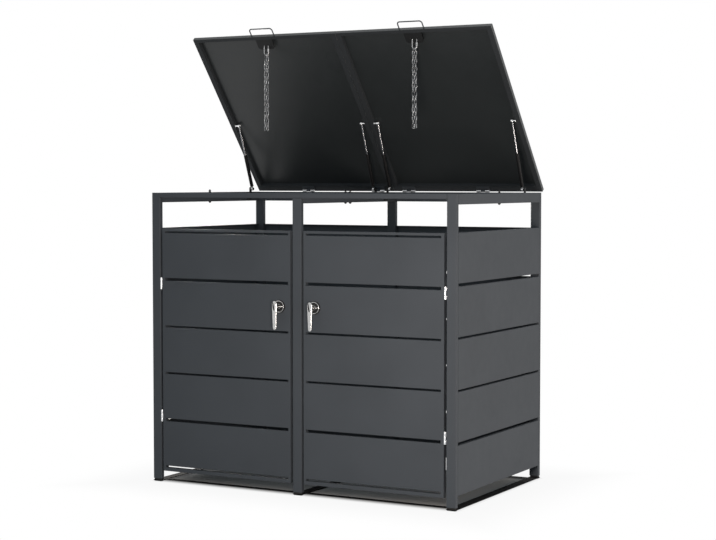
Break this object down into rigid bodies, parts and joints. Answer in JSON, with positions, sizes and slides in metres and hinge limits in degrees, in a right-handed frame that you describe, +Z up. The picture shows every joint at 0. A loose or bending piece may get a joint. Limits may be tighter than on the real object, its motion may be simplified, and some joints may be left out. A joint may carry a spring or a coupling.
{
  "type": "wheelie bin store",
  "caption": "Steel wheelie bin store with slatted sides, slatted doors with lever locks, and strut-held lids with lifting chains.",
  "frame": {"origin": "on the ground, in the middle of the frame's footprint", "axes": "+X to the right along the front, +Y from the front to the back, +Z up"},
  "size_m": [1.38, 0.8853, 1.8677],
  "materials": {
    "anthracite_paint": "fine-textured powder coat",
    "dark_steel": "dark painted flat steel",
    "black_plastic": "moulded black plastic",
    "rubber_and_zinc": "black rubber head on a plated stud",
    "zinc_plate": "bright zinc plate",
    "black_steel": "black painted steel",
    "lock_metal": "satin nickel",
    "rod_chrome": "polished rod"
  },
  "bodies": {
    "frame": {"post_front_left": "anthracite_paint", "post_front_middle": "anthracite_paint", "post_front_right": "anthracite_paint", "post_rear_left": "anthracite_paint", "post_rear_middle": "anthracite_paint", "post_rear_right": "anthracite_paint", "rail_front": "anthracite_paint", "rail_rear": "anthracite_paint", "rail_side_left": "anthracite_paint", "rail_side_right": "anthracite_paint", "rail_middle": "anthracite_paint", "floor_runners": "dark_steel", "floor_cross_strips": "dark_steel", "levelling_feet": "black_plastic", "lid_buffers": "rubber_and_zinc", "lid_hinge_fixed_leaves": "zinc_plate", "strut_brackets": "black_steel", "side_slats_left": "anthracite_paint", "rear_slats_left": "anthracite_paint", "door_hinge_fixed_left": "zinc_plate", "side_slats_right": "anthracite_paint", "rear_slats_right": "anthracite_paint", "door_hinge_fixed_right": "zinc_plate"},
    "door_left": {"door_frame_left": "anthracite_paint", "door_slats_left": "anthracite_paint", "door_hinge_leaves_left": "zinc_plate", "lock_rosette_left": "lock_metal"},
    "door_right": {"door_frame_right": "anthracite_paint", "door_slats_right": "anthracite_paint", "door_hinge_leaves_right": "zinc_plate", "lock_rosette_right": "lock_metal"},
    "lever_left": {"lock_lever_left": "lock_metal", "lock_cam_left": "black_steel"},
    "lever_right": {"lock_lever_right": "lock_metal", "lock_cam_right": "black_steel"},
    "lid_left": {"lid_cover_left": "anthracite_paint", "lid_edge_frame_left": "anthracite_paint", "lid_hinge_leaves_left": "zinc_plate", "bail_handle_left": "anthracite_paint", "hook_tab_left": "black_steel", "lid_strut_studs_left": "zinc_plate"},
    "lid_right": {"lid_cover_right": "anthracite_paint", "lid_edge_frame_right": "anthracite_paint", "lid_hinge_leaves_right": "zinc_plate", "bail_handle_right": "anthracite_paint", "hook_tab_right": "black_steel", "lid_strut_studs_right": "zinc_plate"},
    "barrel_left_outer": {"strut_barrel_left_outer": "black_steel"},
    "rod_left_outer": {"strut_rod_left_outer": "rod_chrome"},
    "barrel_left_inner": {"strut_barrel_left_inner": "black_steel"},
    "rod_left_inner": {"strut_rod_left_inner": "rod_chrome"},
    "barrel_right_inner": {"strut_barrel_right_inner": "black_steel"},
    "rod_right_inner": {"strut_rod_right_inner": "rod_chrome"},
    "barrel_right_outer": {"strut_barrel_right_outer": "black_steel"},
    "rod_right_outer": {"strut_rod_right_outer": "rod_chrome"},
    "hanger_left": {"quick_link_left": "zinc_plate", "chain_left": "zinc_plate"},
    "hanger_right": {"quick_link_right": "zinc_plate", "chain_right": "zinc_plate"}
  },
  "joints": [
    {"name": "door_left_swing", "type": "hinge", "parent": "frame", "child": "door_left", "pos_m": [-0.645, -0.41, 0.5465], "axis": [0, 0, 1], "range_deg": [-110, 0]},
    {"name": "lever_left_turn", "type": "hinge", "parent": "door_left", "child": "lever_left", "pos_m": [-0.08, -0.41, 0.744], "axis": [0, 1, 0], "range_deg": [0, 90]},
    {"name": "door_right_swing", "type": "hinge", "parent": "frame", "child": "door_right", "pos_m": [0.645, -0.41, 0.5465], "axis": [0, 0, 1], "range_deg": [0, 110]},
    {"name": "lever_right_turn", "type": "hinge", "parent": "door_right", "child": "lever_right", "pos_m": [0.08, -0.41, 0.744], "axis": [0, 1, 0], "range_deg": [-90, 0]},
    {"name": "lid_left_close", "type": "hinge", "parent": "frame", "child": "lid_left", "pos_m": [-0.345, 0.412, 1.196], "axis": [1, 0, 0], "range_deg": [0, 50.5]},
    {"name": "hanger_left_swing", "type": "hinge", "parent": "lid_left", "child": "hanger_left", "pos_m": [-0.345, -0.07346, 1.79631], "axis": [1, 0, 0], "range_deg": [-50.6, 0]},
    {"name": "lid_right_close", "type": "hinge", "parent": "frame", "child": "lid_right", "pos_m": [0.345, 0.412, 1.196], "axis": [1, 0, 0], "range_deg": [0, 50.5]},
    {"name": "hanger_right_swing", "type": "hinge", "parent": "lid_right", "child": "hanger_right", "pos_m": [0.345, -0.07346, 1.79631], "axis": [1, 0, 0], "range_deg": [-50.6, 0]},
    {"name": "barrel_left_outer_turn", "type": "hinge", "parent": "frame", "child": "barrel_left_outer", "pos_m": [-0.651, 0.301, 1.203], "axis": [1, 0, 0], "range_deg": [0, 67.72]},
    {"name": "rod_left_outer_slide", "type": "slide", "parent": "barrel_left_outer", "child": "rod_left_outer", "axis": [0, -0.3658, 0.9307], "range_m": [-0.0497, 0]},
    {"name": "barrel_left_inner_turn", "type": "hinge", "parent": "frame", "child": "barrel_left_inner", "pos_m": [-0.039, 0.301, 1.203], "axis": [1, 0, 0], "range_deg": [0, 67.72]},
    {"name": "rod_left_inner_slide", "type": "slide", "parent": "barrel_left_inner", "child": "rod_left_inner", "axis": [0, -0.3658, 0.9307], "range_m": [-0.0497, 0]},
    {"name": "barrel_right_inner_turn", "type": "hinge", "parent": "frame", "child": "barrel_right_inner", "pos_m": [0.039, 0.301, 1.203], "axis": [1, 0, 0], "range_deg": [0, 67.72]},
    {"name": "rod_right_inner_slide", "type": "slide", "parent": "barrel_right_inner", "child": "rod_right_inner", "axis": [0, -0.3658, 0.9307], "range_m": [-0.0497, 0]},
    {"name": "barrel_right_outer_turn", "type": "hinge", "parent": "frame", "child": "barrel_right_outer", "pos_m": [0.651, 0.301, 1.203], "axis": [1, 0, 0], "range_deg": [0, 67.72]},
    {"name": "rod_right_outer_slide", "type": "slide", "parent": "barrel_right_outer", "child": "rod_right_outer", "axis": [0, -0.3658, 0.9307], "range_m": [-0.0497, 0]}
  ],
  "couplings": [
    {"joint": "hanger_left_swing", "follows": "lid_left_close", "ratio": -1},
    {"joint": "hanger_right_swing", "follows": "lid_right_close", "ratio": -1},
    {"joint": "barrel_left_outer_turn", "follows": "lid_left_close", "ratio": 1.339},
    {"joint": "rod_left_outer_slide", "follows": "lid_left_close", "m_per_rad": -0.056277},
    {"joint": "barrel_left_inner_turn", "follows": "lid_left_close", "ratio": 1.339},
    {"joint": "rod_left_inner_slide", "follows": "lid_left_close", "m_per_rad": -0.056277},
    {"joint": "barrel_right_inner_turn", "follows": "lid_right_close", "ratio": 1.339},
    {"joint": "rod_right_inner_slide", "follows": "lid_right_close", "m_per_rad": -0.056277},
    {"joint": "barrel_right_outer_turn", "follows": "lid_right_close", "ratio": 1.339},
    {"joint": "rod_right_outer_slide", "follows": "lid_right_close", "m_per_rad": -0.056277}
  ]
}
